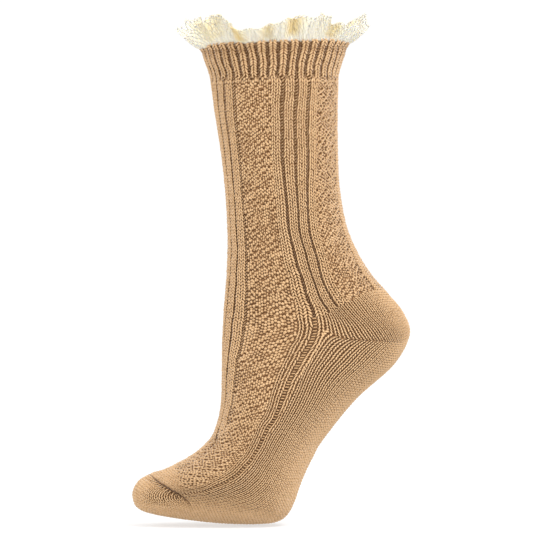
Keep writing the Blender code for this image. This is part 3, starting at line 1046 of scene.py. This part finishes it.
LACE_YARN = (0.22, 0.30)  # the lace yarn's half thickness, at the cuff and at the edge
PICOT_RISE, PICOT_POINTS = 1.1, 5
RUFFLE_HEIGHT = 16.0  # of the tallest lobes, about
CLOTH_COLUMNS, CLOTH_ROWS = 360, 12
CLOTH_HALF = 0.2  # half the fine net's thickness


def ruffle_swing(angle):
    """How far the free edge lies out and up at an angle, smooth through the waves."""
    table = RUFFLE_WAVES
    at = np.concatenate([table[-1:, 0] - 360.0, table[:, 0], table[:1, 0] + 360.0])
    values = np.vstack([table[-1:, 1:], table[:, 1:], table[:1, 1:]])
    angle = np.mod(angle, 360.0)
    low = np.clip(np.searchsorted(at, angle, side="right") - 1, 0, len(at) - 2)
    t = (angle - at[low]) / (at[low + 1] - at[low])
    ease = (0.5 - 0.5 * np.cos(math.pi * t))[..., None]
    return mix(values[low], values[low + 1], ease)


def ruffle_point(angle, height):
    front_x, front_z, back_x, back_z, half_depth = SECTIONS[0][:5]
    turn = np.radians(angle)
    reach = (back_x - front_x) / 2 - RUFFLE_FOOT
    depth = half_depth - RUFFLE_FOOT
    swing = ruffle_swing(angle)
    lean = swing[..., 0] / RUFFLE_OUT * (1 - SIDE_STIFFNESS * np.sin(turn) ** 2)
    above = np.clip(height, 0.0, None)
    flare = RUFFLE_FLARE + SIDE_FLARE * np.sin(turn) ** 2
    out = swing[..., 0] * above ** flare + RIPPLE_OUT * above * np.sin(RIPPLES_OUT * turn)
    rise = swing[..., 1] * above ** (1 + RUFFLE_BELLY * lean)
    rise = rise + RIPPLE_RISE * above * np.sin(RIPPLES_RISE * turn + RIPPLE_START)
    sag = np.sin(math.pi * np.clip(height, 0, 1)) * np.clip(1 - height, 0, 1)
    rise = rise - RUFFLE_DROOP * lean * sag
    x = (back_x + front_x) / 2 + (reach + out) * np.cos(turn)
    y = -(depth + out) * np.sin(turn)
    edge = front_z + (x - front_x) / (back_x - front_x) * (back_z - front_z)
    edge = np.clip(edge, front_z, back_z)
    return stacked(x, y, edge + rise)


def ruffle_normal(angle, height):
    height = np.clip(height, 0.05, None)
    return normal_of(lambda h, a: ruffle_point(a, h), height, angle, *RUFFLE_STEPS)


def tubes(paths, radius):
    """Closed tubes of yarn along paths of the same number of points: (n, k, 3)."""
    n, k, _ = paths.shape
    radius = np.broadcast_to(radius, (n, k))[..., None]
    tangent = np.gradient(paths, axis=1)
    tangent /= np.linalg.norm(tangent, axis=-1, keepdims=True) + 1e-9
    across = np.cross(tangent, LACE_GUIDE)
    across /= np.linalg.norm(across, axis=-1, keepdims=True) + 1e-9
    other = np.cross(tangent, across)
    ring = []
    for s in range(LACE_SIDES):
        a = 2 * math.pi * (s + 0.5) / LACE_SIDES
        ring.append(paths + radius * (math.cos(a) * across + math.sin(a) * other))
    points = np.stack(ring, axis=2).reshape(-1, 3)
    index = np.arange(n * k * LACE_SIDES).reshape(n, k, LACE_SIDES)
    low, high = index[:, :-1], index[:, 1:]
    quads = stacked(low, np.roll(low, -1, axis=2), np.roll(high, -1, axis=2), high)
    faces = quads.reshape(-1, 4).tolist()
    faces += index[:, 0, ::-1].tolist() + index[:, -1, :].tolist()
    return points, faces


def whiteness(angle, height):
    """How white the lace looks: its folds are tan, as painted shade."""
    shade = ruffle_swing(angle)[..., 2] * smooth_step(*SHADE_FROM, height)
    return WHITEST - SHADE_SHARE * shade


def lace_cloth(material):
    """The fine net that the yarns stand on: a closed thin wall over the ruffle's waves."""
    angle = np.arange(CLOTH_COLUMNS) * 360.0 / CLOTH_COLUMNS
    height = np.linspace(0.0, 1.0, CLOTH_ROWS + 1)
    angle, height = np.meshgrid(angle, height, indexing="ij")
    middle = ruffle_point(angle, height)
    half = ruffle_normal(angle, height) * CLOTH_HALF
    across = np.concatenate([middle + half, (middle - half)[:, ::-1]], axis=1)
    index = np.arange(across.shape[0] * across.shape[1]).reshape(across.shape[:2])
    after, beside = np.roll(index, -1, axis=0), np.roll(index, -1, axis=1)
    faces = stacked(index, after, np.roll(after, -1, axis=1), beside)
    # Painted shade for the folds, given as whiteness.
    fold = whiteness(angle, height)
    fold = np.concatenate([fold, fold[:, ::-1]], axis=1)
    return build_mesh("lace_cloth", across.reshape(-1, 3), faces.reshape(-1, 4).tolist(),
                      material, fold=fold.ravel())


def lace_net(material):
    """The lace's raised yarns: a crossing net, with a picot between its edge nodes."""
    step = 360.0 / LACE_COLUMNS
    column, row = np.meshgrid(np.arange(LACE_COLUMNS), np.arange(LACE_ROWS), indexing="ij")
    column, row = column.ravel(), row.ravel()
    wobble = NET_WOBBLE * chance.normal(size=(LACE_COLUMNS, LACE_ROWS + 1, 2))

    def node(c, r):
        j = wobble[np.mod(c, LACE_COLUMNS), r]
        angle = (c + 0.5 * (r % 2) + j[..., 0]) * step
        height = (r + NET_WOBBLE_UP * j[..., 1] * (r > 0)) / LACE_ROWS
        return angle, height

    def between_nodes(low, high, t):
        return (mix(a[:, None], b[:, None], t) for a, b in zip(low, high))

    strands = []
    for direction in (0, 1):
        # From a node to the one above it on the left, and to the one on the right.
        shift = np.where(row % 2 == 0, direction - 1, direction)
        t = np.linspace(-NET_LAP, 1 + NET_LAP, 3)
        angle, height = between_nodes(node(column, row), node(column + shift, row + 1), t)
        lift = (CLOTH_HALF if direction else -CLOTH_HALF) * np.sin(math.pi * np.clip(t, 0, 1))
        strands.append((angle, height, np.broadcast_to(lift, angle.shape)))
    # Picots: small loops that stand on the free edge.
    c = np.arange(LACE_COLUMNS)
    top = np.full(LACE_COLUMNS, LACE_ROWS)
    t = np.linspace(0.0, 1.0, PICOT_POINTS)
    angle, height = between_nodes(node(c, top), node(c + 1, top), t)
    loop = PICOT_RISE / RUFFLE_HEIGHT * np.sin(math.pi * t)
    strands.append((angle, height + loop, np.zeros(angle.shape)))
    thin, thick = LACE_YARN
    parts, folds = [], []
    for angle, height, lift in strands:
        path = ruffle_point(angle, height) + ruffle_normal(angle, height) * lift[..., None]
        parts.append(tubes(path, thin + (thick - thin) * np.clip(height, 0, 1)))
        # Painted shade for the folds, given as whiteness.
        folds.append(np.repeat(whiteness(angle, height).ravel(), LACE_SIDES))
    points, faces = joined(*parts)
    return build_mesh("lace_net", points, faces, material, fold=np.concatenate(folds))


# ---- the sock ----
yarn = yarn_material()
even_edges = column_edges()
cuff_edges = column_edges((np.arange(1, WALES, 2), CUFF_DRAW))
rib_edges = column_edges((matching(PURL_WALES), RIB_DRAW))
top_edges = column_edges((matching(PURL_WALES), TOP_DRAW))
foot_edges = column_edges((matching([w for w in PURL_WALES if w != LADDER_WALE]), RIB_DRAW),
                          (matching([LADDER_WALE]), LADDER_DRAW))
leg = {"rows": LEG_ROWS, "blend": (rib_edges, *LEG_BLEND)}
plain = {"contrast": plain_contrast, "uneven": PLAIN_UNEVEN}
KNIT_PIECES = [
    # name, zone, pattern, edges and what else differs
    ("cuff_stitches", "cuff", cuff_pattern, cuff_edges,
     {"rows": CUFF_ROWS, "blend": (top_edges, *CUFF_BLEND), "contrast": CUFF_CONTRAST}),
    ("leg_rib_stitches", "leg", leg_pattern, top_edges,
     {**leg, "keep": lambda c: ~in_panel(counted(c))}),
    ("leg_panel_stitches", "leg", leg_pattern, top_edges,
     {**leg, "keep": lambda c: in_panel(counted(c)), "uneven": PANEL_UNEVEN,
      "contrast": PANEL_CONTRAST}),
    ("instep_stitches", "instep", instep_pattern, foot_edges,
     {"rows": INSTEP_ROWS, "shape": instep_shape, "keep": lambda c: counted(c) != LADDER_WALE}),
    ("ladder_stitches", "instep", ladder_pattern, foot_edges,
     {"rows": LADDER_ROWS, "shape": instep_shape, "keep": lambda c: counted(c) == LADDER_WALE,
      "templates": LADDER_TEMPLATES}),
    ("upper_heel_stitches", "upper_heel", plain_pattern, even_edges,
     {**plain, "shape": mitre_relief}),
    ("sole_stitches", "sole", plain_pattern, even_edges, {**plain, "shape": sole_shape}),
    ("toe_stitches", "toe", plain_pattern, even_edges,
     {**plain, "shape": toe_shape, "contrast": TOE_CONTRAST}),
]
stitches = [knit_piece(name, ZONES[zone], pattern, edges, yarn, **more)
            for name, zone, pattern, edges, more in KNIT_PIECES]
ground = knit_ground(ground_material())
lace = lace_material()
cloth, net = lace_cloth(lace), lace_net(lace)

# ---- what rides and replaces what ----
KNIT_NODES = ("rib_cuff", "leg", "ankle", "heel", "arch", "foot", "toe")
for slot, pieces in (("knit", [ground, *stitches]), ("lace", [cloth, net])):
    for piece in pieces:
        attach(piece, "root")
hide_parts(*KNIT_NODES)
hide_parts("lace_ruffle")

# ---- camera, light and floor ----
FLOOR_SIZE = 60.0  # metres, so that its far edge is the horizon
FLOOR_DROP = 0.001  # metres below the sock
FLOOR_GREY = (0.40, 0.40, 0.40, 1.0)
FLOOR_GLOW = 0.62  # it glows a little, as a lit studio table does
WORLD_STRENGTH = 1.02
LIGHTS = [
    # name, place and aim in metres, size, power, colour
    ("key", (0.42, -0.62, 0.62), (0, 0, -0.05), 0.45, 6.7, (0.97, 1.0, 1.08)),
    ("fill", (-0.9, -1.0, 0.35), (0, 0, -0.1), 0.8, 4.2, (1, 1, 1)),
]
WHITE = (1.0, 1.0, 1.0, 1.0)

scene = bpy.context.scene
middle = PHOTO_SIZE / 2
camera_data = bpy.data.cameras.new("camera")
camera_data.sensor_width = SENSOR
camera_data.lens = SENSOR * CAMERA_AWAY / (PHOTO_SIZE * MM_PER_PIXEL)
camera_data.clip_end = 100.0
camera = place_object("camera", camera_data)
camera.location = ((middle - ORIGIN_PIXEL[0]) * MM_PER_PIXEL * MM, -CAMERA_AWAY * MM,
                   (ORIGIN_PIXEL[1] - middle) * MM_PER_PIXEL * MM)
camera.rotation_euler = (math.pi / 2, 0, 0)
scene.camera = camera
scene.view_settings.view_transform = "Standard"

# A plain pale floor, as wide as the eye can see.
look = Look("pale_floor", {"Base Color": FLOOR_GREY, "Emission Color": WHITE,
                           "Emission Strength": FLOOR_GLOW, "Roughness": 0.9})
z = cad_box[0][2] - FLOOR_DROP
half = FLOOR_SIZE / 2
mesh = bpy.data.meshes.new("floor")
mesh.from_pydata([(-half, -half, z), (half, -half, z), (half, half, z), (-half, half, z)],
                 [], [(0, 1, 2, 3)])
mesh.materials.append(look.material)
place_object("floor", mesh)

for name, place, aim, size, power, colour in LIGHTS:
    light = bpy.data.lights.new(name, "AREA")
    light.shape = "DISK"
    light.size, light.energy, light.color = size, power, colour
    direction = np.array(aim) - np.array(place)
    direction = direction / np.linalg.norm(direction)
    yaw = math.atan2(direction[1], direction[0]) - math.pi / 2
    lamp = place_object(name, light)
    lamp.location = place
    lamp.rotation_euler = (math.acos(-direction[2]), 0, yaw)
world = bpy.data.worlds.new("studio")
world.use_nodes = True
settle(world.node_tree.nodes["Background"], {"Color": WHITE, "Strength": WORLD_STRENGTH})
scene.world = world
